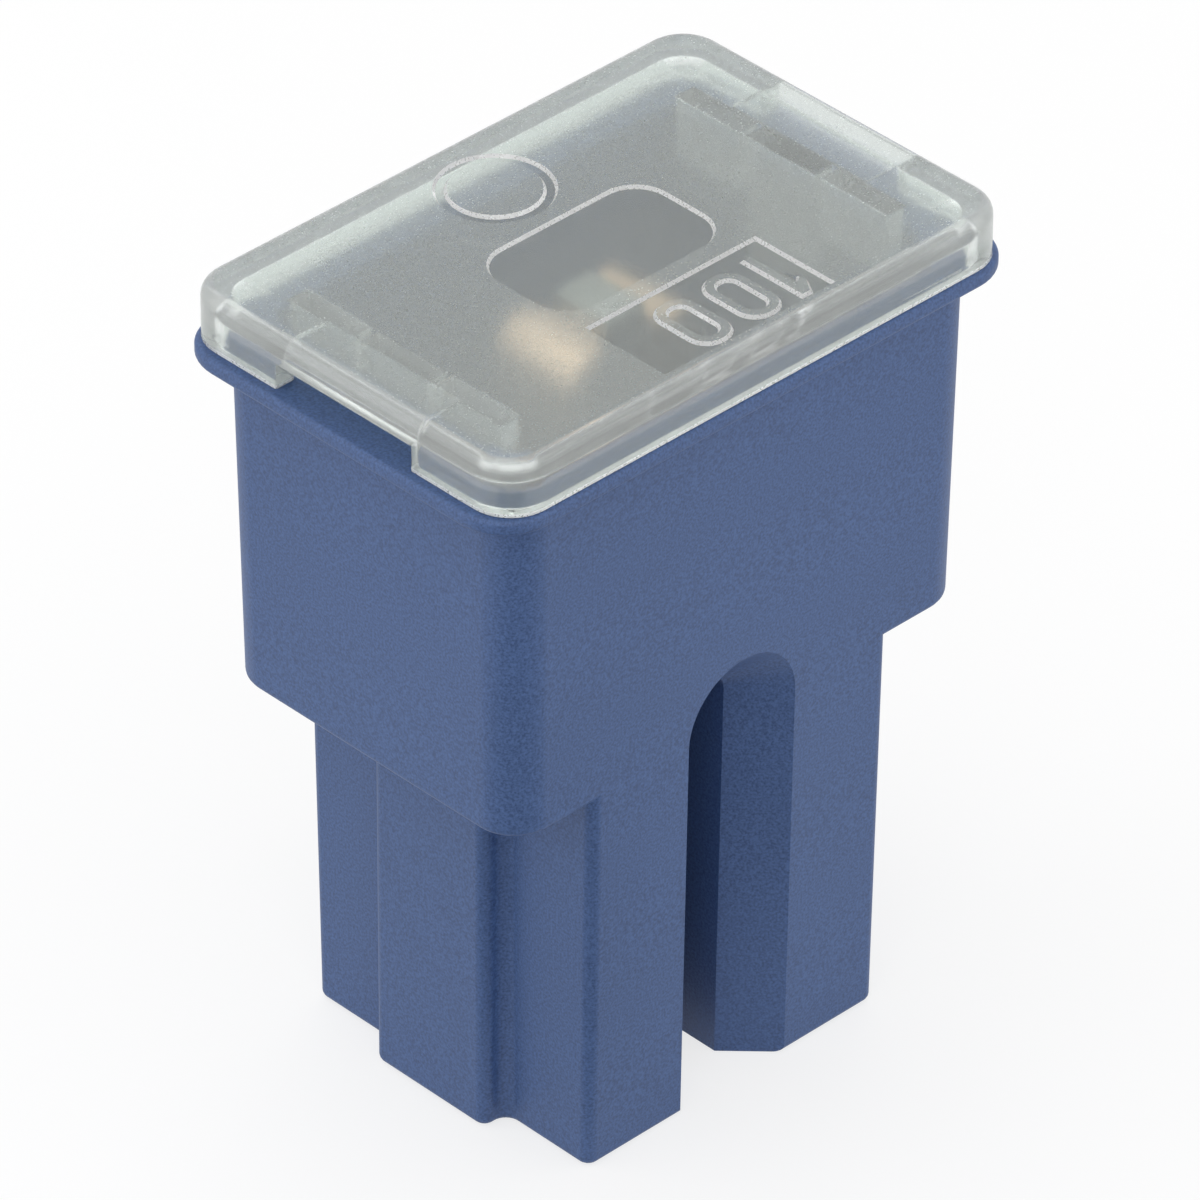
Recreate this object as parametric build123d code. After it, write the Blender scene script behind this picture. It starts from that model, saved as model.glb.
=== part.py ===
"""Female cartridge fusible link: moulded housing, push-fit clear cover, folded copper element.

Z = 0 is the foot of the two legs, X runs along the long side of the flange and Y along
its short side.  Both the housing and the element are mirrored about the YZ plane, and
sizes are worked outwards from the two contact blades that the link plugs onto.
"""
import os

from build123d import *

# ---- driving dimensions, millimetres and degrees ----

# contact blades of the mating holder
blade_width = 9.5
blade_thickness = 1.2

# fuse element
blade_clearance = 0.1           # between blade and plates, and blade edge and fold
stock = 0.8                     # sheet that the element is stamped from
plate_edge_margin = 0.15        # open edge of the plates past the blade's edge
terminal_foot_z = 1.2
plate_lead_in = 0.3
riser_shoulder = 2.1            # wide part of the risers above the cavity floor
riser_taper_height = 3.5
strap_half_width = 1.8
strap_bend_radius = 0.4
strap_drop = 2.4                # top of strap below the cover plate
neck_half_width = 0.75
neck_half_length = 0.9
neck_taper = 0.7
stop_tab_length = 1.6           # of the tab that rests on the cavity floor
stop_tab_half_width = 2.4

# low-melting pellet clinched over the neck
pellet_wrap = 0.55
pellet_height = 0.8
pellet_edge_radius = 0.25

# spring clips
clip_stock = 0.4
clip_gap = 0.05                 # clip back to the open edge of the plates
clip_corner_radius = 0.7
clip_foot_z = 3.0
clip_height = 8.0
clip_arm_reach = 7.2

# housing legs
slot_half_width = 0.8
slot_chamfer = 1.7
leg_length = 15.6
leg_inner_wall = 1.0
leg_outer_wall = 1.0
leg_end_wall = 0.9
leg_edge_radius = 0.45
foot_radius = 0.3
leg_draft = 0.06                # X growth of the leg's outer face over its length
pocket_clearance = 0.2
pocket_corner_chamfer = 0.8
rib_proud = 1.05
rib_half_width = 2.75
rib_edge_radius = 0.45
rib_root_radius = 0.5

# housing body and flange
body_height = 13.2
body_side_step = 3.68           # leg's outer face to the body's end face
body_end_draft = 0.15           # X growth of each end face from foot to flange
face_draft = 0.42               # Y growth of front and back faces from foot to flange
body_corner_radius = 1.6
body_foot_radius = 0.3
floor_thickness = 1.5           # above the slot's arch
end_wall = 1.3
side_wall = 1.25
cavity_corner_radius = 0.8
flange_thickness = 0.6
flange_end_overhang = 1.2
flange_side_overhang = 0.78
flange_corner_radius = 2.0
flange_edge_radius = 0.2

# cover
cover_end_inset = 0.41          # flange edge to skirt
cover_side_inset = 0.14
cover_plate = 1.1
skirt_drop = 1.0
skirt_wall = 0.85
cover_corner_radius = 1.6
cover_edge_radius = 0.5
notch_half_width = 3.2
rib_wall = 0.85
cover_rib_half_width = 5.0
cover_rib_drop = 2.4
cover_fit = 0.2                 # cover ribs and hooks to the cavity wall
hook_half_width = 1.6
hook_slit = 0.35
hook_drop = 5.0
hook_barb = 0.55
hook_barb_height = 1.4
latch_fit = 0.2
underside_step = 0.2

# polished places on the cover's top
window_length = 7.5
window_width = 4.4
window_radius = 1.3
window_centre = (-0.23, -0.34)
disc_radius = 2.0
disc_ring = 0.28
disc_centre = (-0.33, 4.63)
rating_length = 7.6
rating_width = 3.55
rating_centre = (0.0, -5.24)
top_recess = 0.12
recess_slope = 40               # lean of the recess walls from upright

# numerals in the rating panel
numeral_height = 2.95
numeral_width = 1.75
numeral_stroke = 0.5
numeral_pitch = 2.22
first_numeral_x = 3.39
numeral_y = -5.5

# ---- sizes that follow ----
gap = blade_thickness + blade_clearance
blade_half = blade_width / 2
pocket_x0 = slot_half_width + leg_inner_wall
clip_x0 = pocket_x0 + pocket_clearance
plate_x0 = clip_x0 + clip_stock                     # inner plate, face towards the slot
outer_plate_x0 = plate_x0 + stock + gap
plate_x1 = outer_plate_x0 + stock
pocket_x1 = plate_x1 + clip_stock + pocket_clearance
blade_x = plate_x0 + stock + gap / 2
fold_y = -(blade_half + blade_clearance + stock)    # outside of the fold
fold_radius = stock + gap / 2
open_y = blade_half + plate_edge_margin
clip_y = open_y + clip_gap + clip_stock
pocket_half_y = max(-fold_y, clip_y) + pocket_clearance
leg_x = pocket_x1 + leg_outer_wall
leg_half_y = pocket_half_y + leg_end_wall
rib_x = leg_x + rib_proud
body_top_z = leg_length + body_height
flange_top_z = body_top_z + flange_thickness
body_foot_x = leg_x + leg_draft + body_side_step
body_top_x = body_foot_x + body_end_draft
body_top_y = leg_half_y + face_draft
floor_z = leg_length + slot_half_width + floor_thickness
cavity_x = body_top_x - end_wall
cavity_y = body_top_y - side_wall
flange_x = body_top_x + flange_end_overhang
flange_y = body_top_y + flange_side_overhang
cover_x = flange_x - cover_end_inset
cover_y = flange_y - cover_side_inset
plate_z = flange_top_z + skirt_drop
top_z = plate_z + cover_plate
rib_face_x = cavity_x - cover_fit
hook_foot_z = plate_z - hook_drop
strap_top_z = plate_z - strap_drop


def prism(points, plane, half_depth):
    """Outline drawn on a plane through the origin, grown the same way to both sides."""
    return extrude(plane * make_face(Polyline(*points, close=True)), half_depth, both=True)


def block(x0, x1, y0, y1, z0, z1):
    """Box between two corners."""
    centre = Location(((x0 + x1) / 2, (y0 + y1) / 2, (z0 + z1) / 2))
    return centre * Box(x1 - x0, y1 - y0, z1 - z0)


def slab(half_x, half_y, radius, z0, z1):
    """Upright block with rounded corners, centred on the Z axis."""
    return extrude(Plane.XY.offset(z0) * RectangleRounded(2 * half_x, 2 * half_y, radius), z1 - z0)


def both_sides(solid):
    """The solid and its mirror image in the YZ plane."""
    return solid + mirror(solid, Plane.YZ)


def edges_near(shape, test):
    """Edges whose middle point passes the test."""
    return [edge for edge in shape.edges() if test(edge @ 0.5)]


# ---- housing ----

def face_y(z):
    """Half depth of the drafted front and back faces at a height."""
    return leg_half_y + face_draft * z / body_top_z


def housing_body():
    """Drafted box above the legs, with rounded corners and foot."""
    front = prism([(-body_foot_x, leg_length), (-body_top_x, body_top_z),
                   (body_top_x, body_top_z), (body_foot_x, leg_length)], Plane.XZ, 2 * body_top_y)
    side = prism([(-face_y(leg_length), leg_length), (-body_top_y, body_top_z),
                  (body_top_y, body_top_z), (face_y(leg_length), leg_length)], Plane.YZ, 2 * body_top_x)
    body = front & side
    upright = edges_near(body, lambda p: abs(p.X) > body_foot_x - 1 and leg_length + 1 < p.Z < body_top_z - 1)
    body = fillet(upright, body_corner_radius)
    return fillet(edges_near(body, lambda p: p.Z < leg_length + 0.01), body_foot_radius)


def housing_leg():
    """One leg with its outer rib, reaching up into the body."""
    leg_top_z = leg_length + 2
    grow = leg_draft * leg_top_z / leg_length
    front = prism([(0, 0), (leg_x, 0), (leg_x + grow, leg_top_z), (0, leg_top_z)], Plane.XZ, 2 * leg_half_y)
    side = prism([(-leg_half_y, 0), (-face_y(leg_top_z), leg_top_z),
                  (face_y(leg_top_z), leg_top_z), (leg_half_y, 0)], Plane.YZ, 2 * leg_x)
    leg = front & side
    leg = fillet(edges_near(leg, lambda p: p.X > leg_x - 1 and 1 < p.Z < leg_top_z - 1
                            and abs(p.Y) > leg_half_y - 1), leg_edge_radius)
    leg += block(leg_x - 1, rib_x, -rib_half_width, rib_half_width, 0, leg_top_z)
    rib_edges = edges_near(leg, lambda p: p.X > rib_x - 0.01 and 1 < p.Z < leg_top_z - 1)
    leg = fillet(rib_edges, rib_edge_radius)
    roots = edges_near(leg, lambda p: leg_x - 0.1 < p.X < rib_x - 0.5 and 1 < p.Z < leg_top_z - 1
                       and abs(abs(p.Y) - rib_half_width) < 0.05)
    leg = fillet(roots, rib_root_radius)
    outline = edges_near(leg, lambda p: p.Z < 0.01 and p.X > 0.01)
    return fillet(outline, foot_radius)


def leg_slot():
    """Round-topped slot between the legs, flared at 45 degrees out to the front and back faces."""
    column = block(-slot_half_width, slot_half_width, -2 * body_top_y, 2 * body_top_y, -1, leg_length)
    crown = Location((0, 0, leg_length)) * Rot(90, 0, 0) * Cylinder(slot_half_width, 4 * body_top_y)
    slot = column + crown
    past = 0.4                      # the flare's loft runs on past the face and into the slot
    for side in (-1, 1):
        # both rings of the flare lie parallel to the drafted face
        face = Plane((0, side * face_y(leg_length), leg_length), x_dir=(-side, 0, 0),
                     z_dir=(0, side, -face_draft / body_top_z))
        root = make_face(slot_outline(slot_half_width - past))
        mouth = make_face(slot_outline(slot_half_width + slot_chamfer + past))
        slot += loft([face.offset(-slot_chamfer - past) * root, face.offset(past) * mouth])
    return slot


def slot_outline(half_width):
    """Round-topped outline about the middle of the arch, running down past the feet."""
    low = -leg_length - 2
    return (Line((-half_width, low), (-half_width, 0))
            + ThreePointArc((-half_width, 0), (0, half_width), (half_width, 0))
            + Line((half_width, 0), (half_width, low))
            + Line((half_width, low), (-half_width, low)))


def terminal_pocket():
    """Pocket in the right leg for the terminal and its clip, open at the foot and above."""
    c = pocket_corner_chamfer
    outline = [(pocket_x0, -pocket_half_y + c), (pocket_x0 + c, -pocket_half_y), (pocket_x1, -pocket_half_y),
               (pocket_x1, pocket_half_y), (pocket_x0 + c, pocket_half_y), (pocket_x0, pocket_half_y - c)]
    return extrude(Plane.XY.offset(-1) * make_face(Polyline(*outline, close=True)), floor_z + 2)


def latch_recess():
    """Blind recess in the right end wall that the cover's barb catches in."""
    half_width = hook_half_width + latch_fit
    return block(cavity_x - 0.5, rib_face_x + hook_barb + latch_fit, -half_width, half_width,
                 hook_foot_z - latch_fit, hook_foot_z + hook_barb_height + latch_fit)


def make_housing():
    solid = housing_body() + both_sides(housing_leg())
    flange = slab(flange_x, flange_y, flange_corner_radius, body_top_z, flange_top_z)
    solid += fillet(flange.edges().filter_by(Axis.Z, reverse=True), flange_edge_radius)
    solid -= leg_slot()
    solid -= slab(cavity_x, cavity_y, cavity_corner_radius, floor_z, flange_top_z + 1)
    solid -= both_sides(terminal_pocket())
    solid -= both_sides(latch_recess())
    return solid


# ---- cover ----

def make_numeral(character):
    """Flat outline of a numeral in its cell, centred on the origin and upright."""
    half_h, half_w = numeral_height / 2, numeral_width / 2
    if character == "0":
        hole_half_w, hole_half_h = half_w - numeral_stroke, half_h - numeral_stroke
        return (RectangleRounded(2 * half_w, 2 * half_h, half_w - 0.05)
                - RectangleRounded(2 * hole_half_w, 2 * hole_half_h, hole_half_w - 0.02))
    stem_x0 = half_w - numeral_stroke
    stem = Location((half_w - numeral_stroke / 2, 0)) * Rectangle(numeral_stroke, numeral_height)
    flag = make_face(Polyline((half_w - 0.1, half_h), (stem_x0, half_h), (0, half_h - 0.6),
                              (0, half_h - 1.15), (stem_x0 + 0.1, half_h - 0.75), close=True))
    return stem + flag


def cover_top_recesses():
    """Shallow polished window, ring and rating panel sunk in the cover's top, with sloping walls."""
    level = Plane.XY.offset(top_z - top_recess)
    past_top = 0.02

    def sunk(outline):
        return extrude(level * outline, top_recess + past_top, taper=-recess_slope)

    cut = sunk(Pos(*window_centre) * RectangleRounded(window_length, window_width, window_radius))
    cut += sunk(Pos(*disc_centre) * Circle(disc_radius))
    cut -= extrude(level * Pos(*disc_centre) * Circle(disc_radius - disc_ring), top_recess + past_top,
                   taper=recess_slope)
    panel = sunk(Pos(*rating_centre) * Rectangle(rating_length, rating_width))
    for place, character in enumerate("100"):
        x = first_numeral_x - place * numeral_pitch
        # the numerals read towards -X, with their tops towards -Y
        outline = Pos(x, numeral_y) * Rot(0, 0, 180) * make_numeral(character)
        panel -= extrude(level * outline, top_recess + past_top, taper=recess_slope)
    return cut + panel


def cover_end():
    """Rib and barbed hook that hang from the right end of the cover plate."""
    inner_x = rib_face_x - rib_wall
    foot_z = plate_z - cover_rib_drop
    rib = block(inner_x, rib_face_x, -cover_rib_half_width, cover_rib_half_width, foot_z, plate_z + 0.1)
    slit = hook_half_width + hook_slit
    rib -= block(inner_x - 1, rib_face_x + 1, -slit, slit, foot_z - 1, plate_z)
    hook = prism([(inner_x, plate_z + 0.1), (rib_face_x, plate_z + 0.1),
                  (rib_face_x, hook_foot_z + hook_barb_height),
                  (rib_face_x + hook_barb, hook_foot_z + hook_barb_height),
                  (rib_face_x + hook_barb, hook_foot_z + hook_barb_height - 0.3),
                  (rib_face_x - 0.1, hook_foot_z), (inner_x + 0.1, hook_foot_z)],
                 Plane.XZ, hook_half_width)
    return rib + hook


def make_cover():
    solid = slab(cover_x, cover_y, cover_corner_radius, flange_top_z, top_z)
    solid = fillet(solid.edges().group_by(Axis.Z)[-1], cover_edge_radius)
    inner_x, inner_y = cover_x - skirt_wall, cover_y - skirt_wall
    solid -= slab(inner_x, inner_y, cover_corner_radius - skirt_wall / 2, flange_top_z - 1, plate_z)
    notch = block(inner_x - 0.2, cover_x + 1, -notch_half_width, notch_half_width, flange_top_z - 1, plate_z)
    notch += block(rib_face_x, inner_x, -notch_half_width, notch_half_width,
                   plate_z - 0.1, plate_z + underside_step)
    solid -= both_sides(notch)
    solid += both_sides(cover_end())
    return solid - cover_top_recesses()


# ---- fuse element, pellet and clips ----

def terminal():
    """Right terminal: a sheet folded round the blade's edge, with a tab over the pocket's rim."""
    fold_centre_y = fold_y + fold_radius
    top_z_terminal = floor_z - 0.6
    outline = Circle(fold_radius) - Circle(gap / 2)
    outline &= Pos(0, -fold_radius) * Rectangle(4 * fold_radius, 2 * fold_radius)
    outline = Pos(blade_x, fold_centre_y) * outline
    for x0 in (plate_x0, outer_plate_x0):
        outline += (Pos(x0 + stock / 2, (fold_centre_y + open_y) / 2)
                    * Rectangle(stock, open_y - fold_centre_y))
    channel = extrude(Plane.XY.offset(terminal_foot_z) * outline, top_z_terminal - terminal_foot_z)
    mouth = prism([(blade_x - gap / 2 - plate_lead_in, terminal_foot_z - 1),
                   (blade_x - gap / 2 - plate_lead_in, terminal_foot_z),
                   (blade_x - gap / 2, terminal_foot_z + plate_lead_in),
                   (blade_x + gap / 2, terminal_foot_z + plate_lead_in),
                   (blade_x + gap / 2 + plate_lead_in, terminal_foot_z),
                   (blade_x + gap / 2 + plate_lead_in, terminal_foot_z - 1)], Plane.XZ, 2 * blade_width)
    channel -= mouth & block(0, 2 * plate_x1, fold_centre_y, open_y + 1, 0, 2 * terminal_foot_z)
    half = stop_tab_half_width
    tongue = block(outer_plate_x0, plate_x1, -half, half, top_z_terminal - 1, floor_z + stock)
    shelf = block(outer_plate_x0, pocket_x1 + stop_tab_length, -half, half, floor_z, floor_z + stock)
    tab = tongue + shelf
    tab = fillet(edges_near(tab, lambda p: abs(p.X - outer_plate_x0) < 0.01
                            and abs(p.Z - floor_z - stock) < 0.01), stock * 0.9)
    return channel + tab


def bridge():
    """Both risers and the strap between them, as one bent strip with a narrow neck."""
    low = floor_z - 0.8
    outer, inner = plate_x0 + stock, plate_x0
    strip = prism([(-outer, low), (-outer, strap_top_z), (outer, strap_top_z), (outer, low)],
                  Plane.XZ, open_y)
    strip = fillet(edges_near(strip, lambda p: p.Z > strap_top_z - 0.01 and abs(p.X) > outer - 0.01),
                   strap_bend_radius + stock)
    hollow = prism([(-inner, low - 1), (-inner, strap_top_z - stock),
                    (inner, strap_top_z - stock), (inner, low - 1)], Plane.XZ, 2 * open_y)
    hollow = fillet(edges_near(hollow, lambda p: p.Z > strap_top_z - stock - 0.01
                               and abs(p.X) > inner - 0.01), strap_bend_radius)
    taper_z = floor_z + riser_shoulder
    taper_top_z = taper_z + riser_taper_height
    side = prism([(-open_y, low), (-open_y, taper_z), (-strap_half_width, taper_top_z),
                  (-strap_half_width, strap_top_z + 1), (strap_half_width, strap_top_z + 1),
                  (strap_half_width, taper_top_z), (open_y, taper_z), (open_y, low)],
                 Plane.YZ, 2 * outer)
    strip = (strip - hollow) & side
    for side_sign in (-1, 1):
        wide = neck_half_length + neck_taper
        y_neck, y_edge = side_sign * neck_half_width, side_sign * (strap_half_width + 1)
        y_strap = side_sign * strap_half_width
        bite = [(-wide, y_strap), (-neck_half_length, y_neck), (neck_half_length, y_neck),
                (wide, y_strap), (wide, y_edge), (-wide, y_edge)]
        strip -= extrude(Plane.XY.offset(strap_top_z - 2 * stock)
                         * make_face(Polyline(*bite, close=True)), 4 * stock)
    return strip


def make_pellet():
    """Saddle of low-melting metal over the neck."""
    half_y = neck_half_width + pellet_wrap
    saddle = block(-neck_half_length, neck_half_length, -half_y, half_y,
                   strap_top_z - stock, strap_top_z + pellet_height)
    top_edges = edges_near(saddle, lambda p: p.Z > strap_top_z + pellet_height - 0.01)
    saddle = fillet(top_edges, pellet_edge_radius)
    return saddle - block(-neck_half_length - 1, neck_half_length + 1, -neck_half_width, neck_half_width,
                          strap_top_z - stock - 1, strap_top_z)


def make_clip():
    """Right spring clip: a C of thin strip that closes over the open edge of the plates."""
    arm_foot_y = clip_y - clip_arm_reach
    x0, x1 = clip_x0, plate_x1 + clip_stock
    z0, z1 = clip_foot_z, clip_foot_z + clip_height
    outer = block(x0, x1, arm_foot_y, clip_y, z0, z1)
    outer = fillet(edges_near(outer, lambda p: p.Y > clip_y - 0.01 and abs(p.Z - (z0 + z1) / 2) < 0.01),
                   clip_corner_radius)
    inner = block(x0 + clip_stock, x1 - clip_stock, arm_foot_y - 1, clip_y - clip_stock, z0 - 1, z1 + 1)
    return outer - inner


def save(name, solid):
    """One STEP file for each piece."""
    export_step(solid, os.path.join("parts", name + ".step"))


os.makedirs("parts", exist_ok=True)
save("housing", make_housing())
save("cover", make_cover())
save("fuse_element", bridge() + both_sides(terminal()))
save("tin_pellet", make_pellet())
save("spring_clip_right", make_clip())
save("spring_clip_left", mirror(make_clip(), Plane.YZ))
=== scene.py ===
import math

import bpy
from mathutils import Matrix, Vector


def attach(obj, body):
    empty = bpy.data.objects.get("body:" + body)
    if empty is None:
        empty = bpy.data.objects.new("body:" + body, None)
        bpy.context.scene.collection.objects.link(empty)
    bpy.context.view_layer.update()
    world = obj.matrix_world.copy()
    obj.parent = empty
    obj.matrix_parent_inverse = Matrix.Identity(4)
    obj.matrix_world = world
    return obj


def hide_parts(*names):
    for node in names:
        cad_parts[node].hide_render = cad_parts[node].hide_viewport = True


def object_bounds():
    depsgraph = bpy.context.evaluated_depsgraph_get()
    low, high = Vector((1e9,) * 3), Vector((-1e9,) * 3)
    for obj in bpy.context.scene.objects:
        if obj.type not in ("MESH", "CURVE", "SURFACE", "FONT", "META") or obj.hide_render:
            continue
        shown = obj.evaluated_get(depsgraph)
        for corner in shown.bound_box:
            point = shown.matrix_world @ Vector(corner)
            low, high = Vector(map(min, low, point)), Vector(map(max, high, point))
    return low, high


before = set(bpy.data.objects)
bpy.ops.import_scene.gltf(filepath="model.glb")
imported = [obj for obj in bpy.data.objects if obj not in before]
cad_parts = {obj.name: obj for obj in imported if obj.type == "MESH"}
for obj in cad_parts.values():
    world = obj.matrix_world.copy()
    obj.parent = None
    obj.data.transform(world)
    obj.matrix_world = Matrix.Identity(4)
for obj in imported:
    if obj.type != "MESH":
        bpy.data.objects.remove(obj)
cad_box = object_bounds()

# ---- camera ----
# A long lens looks down on the near left corner of the link, the way small parts are pictured
# in a catalogue. It aims a little above the middle of the object.
mm = 0.001
azimuth, elevation, roll = math.radians(-44.23), math.radians(35.62), math.radians(0.29)
aim = Vector((0, 0, 17.0 * mm))
camera_distance, shift_right, shift_down = 362.58 * mm, 0.086 * mm, 0.079 * mm

back = Vector((math.sin(azimuth) * math.cos(elevation),
               -math.cos(azimuth) * math.cos(elevation), math.sin(elevation)))
level_right = Vector((math.cos(azimuth), math.sin(azimuth), 0))
level_up = back.cross(level_right)
camera_right = level_right * math.cos(roll) + level_up * math.sin(roll)
camera_up = level_up * math.cos(roll) - level_right * math.sin(roll)

bpy.ops.object.camera_add()
camera = bpy.context.object
camera.name = "camera"
camera.data.sensor_width = 36
camera.data.lens = 322.17
camera.data.clip_start, camera.data.clip_end = 10 * mm, 20
camera.location = (aim + back * camera_distance + camera_right * shift_right
                   - camera_up * shift_down)
camera.rotation_mode = "QUATERNION"
camera.rotation_quaternion = Matrix((camera_right, camera_up, back)).transposed().to_quaternion()
bpy.context.scene.camera = camera
bpy.context.scene.view_settings.view_transform = "Standard"

# ---- floor and backdrop ----
# A white table top that runs out of sight, under a plain white room. Seen straight on or in a
# reflection both come out white, and the floor keeps the soft shadow under the feet.


def linear(hex_colour):
    """Linear colour of an sRGB hex value, with full alpha."""
    channels = [int(hex_colour[i:i + 2], 16) / 255 for i in (1, 3, 5)]
    return [c / 12.92 if c <= 0.04045 else ((c + 0.055) / 1.055) ** 2.4 for c in channels] + [1]


def new_material(name):
    """A new material, its node tree and its main shader."""
    material = bpy.data.materials.new(name)
    material.use_nodes = True
    return material, material.node_tree, material.node_tree.nodes["Principled BSDF"]


def add_node(tree, kind, inputs=None, **settings):
    """A new node with its settings; each input is a plain value or another node's output."""
    node = tree.nodes.new(kind)
    for name, value in settings.items():
        setattr(node, name, value)
    for key, value in (inputs or {}).items():
        if isinstance(value, bpy.types.NodeSocket):
            tree.links.new(value, node.inputs[key])
        else:
            node.inputs[key].default_value = value
    return node


def seen_directly(tree):
    """1 where the camera, a reflection or a refraction looks, 0 for the light cast on things."""
    path = add_node(tree, "ShaderNodeLightPath")
    either = add_node(tree, "ShaderNodeMath", {0: path.outputs["Is Camera Ray"],
                                               1: path.outputs["Is Glossy Ray"]},
                      operation="MAXIMUM")
    return add_node(tree, "ShaderNodeMath", {0: either.outputs[0],
                                             1: path.outputs["Is Transmission Ray"]},
                    operation="MAXIMUM").outputs[0]


floor_size, floor_gap = 6, 0.02 * mm
white, table_white, table_shade = (1, 1, 1, 1), (0.8, 0.8, 0.8, 1), (0.3, 0.3, 0.3, 1)
table_glow, room_light = 0.72, 0.42
bpy.ops.object.select_all(action="DESELECT")
bpy.ops.mesh.primitive_plane_add(size=floor_size, location=(0, 0, cad_box[0][2] - floor_gap))
floor = bpy.context.object
floor.name = "floor"

# the light that the table throws back is plain white paint; what is seen of it glows as well
floor_paint, tree, _ = new_material("white_table_top")
tree.nodes.clear()
bounce = add_node(tree, "ShaderNodeBsdfDiffuse", {"Color": table_white})
shaded = add_node(tree, "ShaderNodeBsdfDiffuse", {"Color": table_shade})
glow = add_node(tree, "ShaderNodeEmission", {"Color": white, "Strength": table_glow})
shown = add_node(tree, "ShaderNodeAddShader", {0: shaded.outputs[0], 1: glow.outputs[0]})
mixed = add_node(tree, "ShaderNodeMixShader", {0: seen_directly(tree), 1: bounce.outputs[0],
                                               2: shown.outputs[0]})
add_node(tree, "ShaderNodeOutputMaterial", {"Surface": mixed.outputs[0]})
floor.data.materials.append(floor_paint)

world = bpy.data.worlds.new("white_room")
world.use_nodes = True
tree = world.node_tree
tree.nodes.clear()
level = add_node(tree, "ShaderNodeMapRange", {"Value": seen_directly(tree),
                                              "To Min": room_light, "To Max": 1.0})
room = add_node(tree, "ShaderNodeBackground", {"Color": white, "Strength": level.outputs[0]})
add_node(tree, "ShaderNodeOutputWorld", {"Surface": room.outputs[0]})
bpy.context.scene.world = world

# a black flag lies on the table in front of the near corner; only reflections see it
flag_length, flag_width, flag_start, flag_drop = 70 * mm, 46 * mm, 12 * mm, 0.01 * mm
towards = Vector((back.x, back.y, 0)).normalized()
flag_middle = towards * (flag_start + flag_length / 2) - Vector((0, 0, flag_drop))
bpy.ops.object.select_all(action="DESELECT")
bpy.ops.mesh.primitive_grid_add(x_subdivisions=1, y_subdivisions=1, size=1, location=(0, 0, 0))
flag = bpy.context.object
flag.name = "black_flag"
flag.data.transform(Matrix.Translation(flag_middle) @ Matrix.Rotation(azimuth, 4, "Z")
                    @ Matrix.Diagonal((flag_width, flag_length, 1, 1)))
flag.visible_camera = flag.visible_diffuse = False
flag.visible_transmission = flag.visible_shadow = False
flag_cloth, tree, shader = new_material("black_flag_cloth")
shader.inputs["Base Color"].default_value = linear("#303030")
shader.inputs["Roughness"].default_value = 0.9
flag.data.materials.append(flag_cloth)

# ---- studio lights ----
# Two large soft boxes stand a little behind the object, one past each flank, a third hangs over
# the cover, and a smaller one high in front lifts the near corner.


def soft_box(name, direction, distance, size, radiance):
    """Square area lamp aimed at the object, with its power worked out from how bright it looks."""
    lamp = bpy.data.lights.new(name, "AREA")
    lamp.shape = "SQUARE"
    lamp.size = size
    lamp.energy = radiance * math.pi * size * size
    box = bpy.data.objects.new(name, lamp)
    bpy.context.scene.collection.objects.link(box)
    direction = Vector(direction).normalized()
    box.location = aim + direction * distance
    box.rotation_euler = direction.to_track_quat("Z", "Y").to_euler()


soft_box("left_box", (-0.9, 0.5, 0.35), 0.40, 0.42, 1.05)
soft_box("right_box", (0.5, -0.9, 0.35), 0.40, 0.42, 0.85)
soft_box("top_box", (0.15, 0.3, 1.0), 0.45, 0.45, 1.15)
soft_box("front_box", (-0.6, -0.6, 0.7), 0.45, 0.35, 1.15)

# ---- housing ----
# Glass-filled polyamide, injection moulded in one piece, dyed slate blue. The mould was spark
# eroded, so flat faces have a fine matte grain, and its parting edges leave small soft radii.


def shade_by_area(piece):
    """Smooth shading over the roundings only, with the large flat faces left flat."""
    rounding_angle = 40
    bpy.ops.object.shade_smooth_by_angle(angle=math.radians(rounding_angle))
    weighting = piece.modifiers.new("flat_faces", "WEIGHTED_NORMAL")
    weighting.keep_sharp = True
    bpy.ops.object.modifier_apply(modifier=weighting.name)


def finished_copy(node, name, edge_radius, fold_angle=38):
    """Copy of a CAD node's shape with its corners merged and its sharp edges rounded over."""
    same_point = 0.002 * mm
    bpy.ops.object.select_all(action="DESELECT")
    piece = bpy.data.objects.new(name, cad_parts[node].data.copy())
    bpy.context.scene.collection.objects.link(piece)
    bpy.context.view_layer.objects.active = piece
    piece.select_set(True)
    bpy.ops.mesh.customdata_custom_splitnormals_clear()
    bpy.ops.object.mode_set(mode="EDIT")
    bpy.ops.mesh.select_all(action="SELECT")
    bpy.ops.mesh.remove_doubles(threshold=same_point)
    bpy.ops.mesh.dissolve_degenerate(threshold=same_point)
    bpy.ops.object.mode_set(mode="OBJECT")
    bevel = piece.modifiers.new("edge_rounding", "BEVEL")
    bevel.width = edge_radius
    bevel.segments = 2
    bevel.limit_method = "ANGLE"
    bevel.angle_limit = math.radians(fold_angle)
    bevel.use_clamp_overlap = False
    bpy.ops.object.modifier_apply(modifier=bevel.name)
    shade_by_area(piece)
    piece.data.materials.clear()
    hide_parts(node)
    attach(piece, "root")
    return piece


housing = finished_copy("housing", "housing_shell", 0.03 * mm, fold_angle=60)

polyamide, tree, shader = new_material("blue_polyamide_spark_eroded")
place = add_node(tree, "ShaderNodeTexCoord").outputs["Object"]
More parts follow.
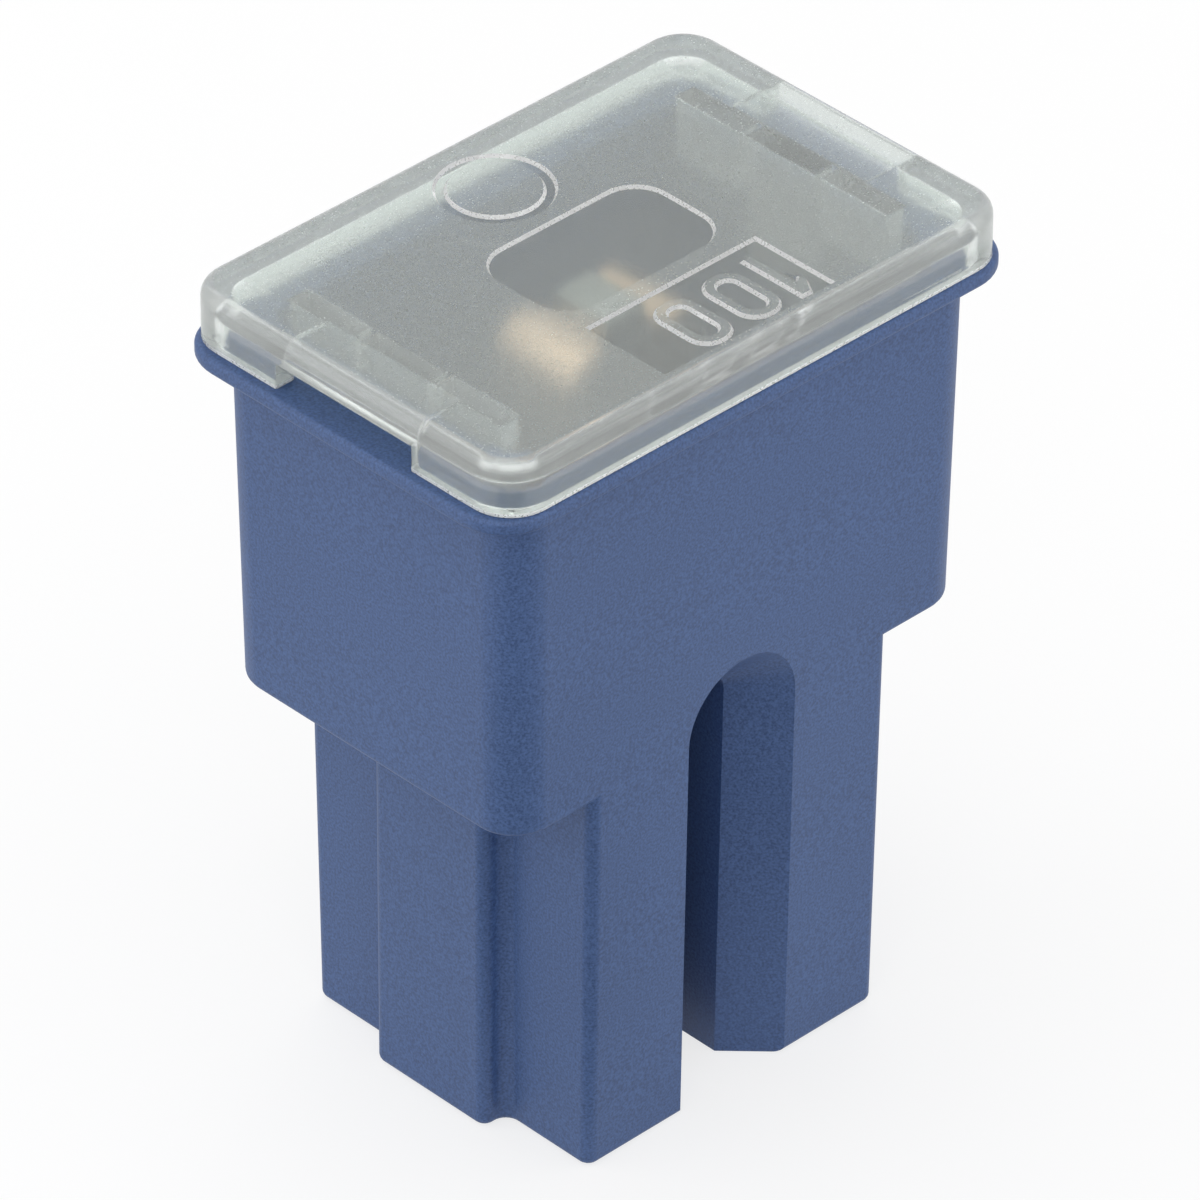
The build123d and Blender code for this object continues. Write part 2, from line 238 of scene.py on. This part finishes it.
# the spark-eroded grain is drawn a few times coarser than it is, so that it shows, and the
# depth of the dye drifts a little over larger patches
grain_size, grain_depth, cloud_size = 0.09 * mm, 0.01 * mm, 6 * mm
noise_low, noise_high = 0.3, 0.7  # a noise seldom leaves this range
grain = add_node(tree, "ShaderNodeTexNoise", {"Vector": place, "Scale": 1 / grain_size,
                                              "Detail": 2.0})
cloud = add_node(tree, "ShaderNodeTexNoise", {"Vector": place, "Scale": 1 / cloud_size,
                                              "Detail": 2.0})
speck = add_node(tree, "ShaderNodeMapRange", {"Value": grain.outputs[0], "From Min": noise_low,
                                              "From Max": noise_high})
dye = add_node(tree, "ShaderNodeMix", {0: speck.outputs[0], 6: linear("#304873"),
                                       7: linear("#4A6698")}, data_type="RGBA")
tone = add_node(tree, "ShaderNodeMapRange", {"Value": cloud.outputs[0],
                                             "To Min": 0.94, "To Max": 1.06})
shade = add_node(tree, "ShaderNodeVectorMath", {0: dye.outputs[2], 3: tone.outputs[0]},
                 operation="SCALE")
tree.links.new(shade.outputs[0], shader.inputs["Base Color"])
relief = add_node(tree, "ShaderNodeBump", {"Height": grain.outputs[0], "Strength": 0.6,
                                           "Distance": grain_depth})
tree.links.new(relief.outputs[0], shader.inputs["Normal"])
gloss = add_node(tree, "ShaderNodeMapRange", {"Value": grain.outputs[0],
                                              "To Min": 0.42, "To Max": 0.6})
tree.links.new(gloss.outputs[0], shader.inputs["Roughness"])
shader.inputs["IOR"].default_value = 1.53
housing.data.materials.append(polyamide)

# ---- fuse element ----
# One strip of copper alloy, stamped, folded round each blade socket and bent over at the top.
# It is left bright, with the fine lines of rolling along its length, drawn coarser than they
# are so that they show.


def rolled_metal(name, closeness, line_length, dark, pale, smoothest, roughest):
    """Bare rolled strip; closeness says how many times closer its lines lie along each axis."""
    metal, tree, shader = new_material(name)
    place = add_node(tree, "ShaderNodeTexCoord").outputs["Object"]
    drawn = add_node(tree, "ShaderNodeMapping", {"Vector": place, "Scale": closeness})
    lines = add_node(tree, "ShaderNodeTexNoise", {"Vector": drawn.outputs[0],
                                                  "Scale": 1 / line_length, "Detail": 3})
    hue = add_node(tree, "ShaderNodeMix", {0: lines.outputs[0], 6: linear(dark),
                                           7: linear(pale)}, data_type="RGBA")
    tree.links.new(hue.outputs[2], shader.inputs["Base Color"])
    rub = add_node(tree, "ShaderNodeMapRange", {"Value": lines.outputs[0],
                                                "To Min": smoothest, "To Max": roughest})
    tree.links.new(rub.outputs[0], shader.inputs["Roughness"])
    shader.inputs["Metallic"].default_value = 1
    return metal


element = finished_copy("fuse_element", "fuse_element_strip", 0.05 * mm)
element.data.materials.append(rolled_metal("rolled_copper_alloy", (1, 12, 1), 1.2 * mm,
                                           "#EDBF98", "#FADBC0", 0.22, 0.4))

# ---- pellet ----
# Low-melting tin alloy, cast to shape and clinched over the neck of the strip. Cast tin is
# dull and slightly wavy.
pellet = finished_copy("tin_pellet", "tin_pellet_saddle", 0.06 * mm)

tin, tree, shader = new_material("cast_tin_alloy")
place = add_node(tree, "ShaderNodeTexCoord").outputs["Object"]
ripple_size, ripple_depth = 0.5 * mm, 0.05 * mm
ripple = add_node(tree, "ShaderNodeTexNoise", {"Vector": place, "Scale": 1 / ripple_size,
                                               "Detail": 3})
pale = add_node(tree, "ShaderNodeMix", {0: ripple.outputs[0], 6: linear("#8E8E8B"),
                                        7: linear("#AEAEAA")}, data_type="RGBA")
tree.links.new(pale.outputs[2], shader.inputs["Base Color"])
wave = add_node(tree, "ShaderNodeBump", {"Height": ripple.outputs[0], "Strength": 0.4,
                                         "Distance": ripple_depth})
tree.links.new(wave.outputs[0], shader.inputs["Normal"])
shader.inputs["Metallic"].default_value = 1
shader.inputs["Roughness"].default_value = 0.45
pellet.data.materials.append(tin)

# ---- spring clips ----
# Stainless spring strip, rolled thin, cut and bent into a C that closes over each terminal.
# It is a bright grey with the same fine rolling lines, drawn coarse enough to show.
steel = rolled_metal("stainless_spring_strip", (1, 1, 14), 1.5 * mm,
                     "#A9ACAF", "#C9CCCE", 0.2, 0.38)
for side in ("left", "right"):
    clip = finished_copy("spring_clip_" + side, "spring_clip_strip_" + side, 0.05 * mm)
    clip.data.materials.append(steel)

# ---- cover ----
# Clear polycarbonate, injection moulded and pushed on until its hooks catch in the housing.
# The mould was blasted where the top comes out frosted, left satin at the skirt and the floors
# of the window, the ring and the rating panel, and polished for the inside.
cover = finished_copy("cover", "clear_cover", 0.09 * mm, fold_angle=75)

# the skirt stands a hair clear of the flange, as two moulded faces never meet all over, and its
# foot is rounded less than the other edges
long_wall_y, skirt_start_x, skirt_start_y = 7 * mm, 10.5 * mm, 6.8 * mm
foot_gap, foot_rounding, rounding_kept, hair = 0.02 * mm, 0.1 * mm, 0.2, 0.01 * mm
skirt_foot = min(vertex.co.z for vertex in cover.data.vertices
                 if abs(vertex.co.y) > long_wall_y)
for vertex in cover.data.vertices:
    on_skirt = abs(vertex.co.x) > skirt_start_x or abs(vertex.co.y) > skirt_start_y
    above = vertex.co.z - skirt_foot
    if on_skirt and -hair < above < foot_rounding:
        vertex.co.z = skirt_foot + foot_gap + rounding_kept * above

# the foot and the plate's edge each get a band of faces of their own, to carry their painted
# highlights
top_height = max(vertex.co.z for vertex in cover.data.vertices)
plate_thickness, band_height, clear_of_corners = 1.1 * mm, 0.17 * mm, 0.003 * mm
plate_foot, foot_band = top_height - plate_thickness, skirt_foot + band_height
bpy.ops.object.mode_set(mode="EDIT")
for height in (plate_foot, foot_band):
    bpy.ops.mesh.select_all(action="SELECT")
    bpy.ops.mesh.bisect(plane_co=(0, 0, height + clear_of_corners), plane_no=(0, 0, 1))
bpy.ops.object.mode_set(mode="OBJECT")
shade_by_area(cover)


def moulded_clear(name, tint, roughness, clearness, grain_depth, haze_depth):
    """Polycarbonate against one finish of the mould; clearness is the share of light let through.

    The grain is drawn coarser than a blasted mould leaves it, so that it shows.
    """
    grain_size, spread = 0.08 * mm, 0.15
    material, tree, shader = new_material(name)
    place = add_node(tree, "ShaderNodeTexCoord").outputs["Object"]
    grain = add_node(tree, "ShaderNodeTexNoise", {"Vector": place, "Scale": 1 / grain_size,
                                                  "Detail": 1})
    relief = add_node(tree, "ShaderNodeBump", {"Height": grain.outputs[0], "Strength": 0.3,
                                               "Distance": grain_depth})
    tree.links.new(relief.outputs[0], shader.inputs["Normal"])
    speck = add_node(tree, "ShaderNodeMapRange", {"Value": grain.outputs[0],
                                                  "From Min": noise_low, "From Max": noise_high})
    gloss = add_node(tree, "ShaderNodeMapRange", {"Value": speck.outputs[0],
                                                  "To Min": (1 - spread) * roughness,
                                                  "To Max": (1 + spread) * roughness})
    tree.links.new(gloss.outputs[0], shader.inputs["Roughness"])
    pale = linear(tint)
    dim = [channel * (1 - haze_depth) for channel in pale[:3]] + [1]
    haze = add_node(tree, "ShaderNodeMix", {0: speck.outputs[0], 6: dim, 7: pale},
                    data_type="RGBA")
    tree.links.new(haze.outputs[2], shader.inputs["Base Color"])
    shader.inputs["IOR"].default_value = 1.58
    shader.inputs["Transmission Weight"].default_value = clearness
    return material


# frosted top, satin skirt and recess floors, clear inside, the plate's outer edge in paler satin,
# and a white, less clear finish on the steps, ribs and foot line: both painted highlight
for finish in (("polycarbonate_blasted", "#EEF6F2", 0.24, 0.77, 0.0012 * mm, 0.10),
               ("polycarbonate_satin", "#EEF6F2", 0.20, 0.86, 0.0010 * mm, 0.08),
               ("polycarbonate_clear", "#F2F7F3", 0.08, 0.97, 0.0010 * mm, 0.02),
               # the plate's edge is satin, made paler and less clear than the skirt's as a painted
               # highlight
               ("polycarbonate_satin_edge_painted_highlight", "#F6FAF8", 0.22, 0.78, 0.0010 * mm, 0.04),
               ("polycarbonate_white_painted_highlight", "#FFFFFF", 0.30, 0.52, 0.0005 * mm, 0.02)):
    cover.data.materials.append(moulded_clear(*finish))
blasted, satin, clear, satin_edge_painted_highlight, white_painted_highlight = range(5)
recess_floor, recess_reach_x, recess_reach_y = top_height - 0.13 * mm, 4.5 * mm, 7.2 * mm
rib_inner_x, rib_outer_x, rib_top = 8.0 * mm, 9.25 * mm, plate_foot - 0.2 * mm
skirt_inner_x, skirt_inner_y, inside_top = 10.75 * mm, 6.98 * mm, plate_foot + 0.3 * mm
# recess walls, the skirt's foot line and the ribs get the white, less clear finish: a painted
# highlight
for face in cover.data.polygons:
    x, y, z = abs(face.center.x), abs(face.center.y), face.center.z
    level, inside = face.normal.z > 0.9, x < skirt_inner_x and y < skirt_inner_y
    if z > top_height - hair and level:
        face.material_index = blasted
    elif z > recess_floor and x < recess_reach_x and y < recess_reach_y:
        face.material_index = satin if level else white_painted_highlight
    elif not inside and z < foot_band:
        face.material_index = white_painted_highlight
    elif not inside and z > plate_foot:
        # paler, less clear satin on the plate's edge: a painted highlight
        face.material_index = satin_edge_painted_highlight
    elif inside and z < rib_top and rib_inner_x < x < rib_outer_x:
        face.material_index = white_painted_highlight
    elif inside and z < inside_top:
        face.material_index = clear
    else:
        face.material_index = satin
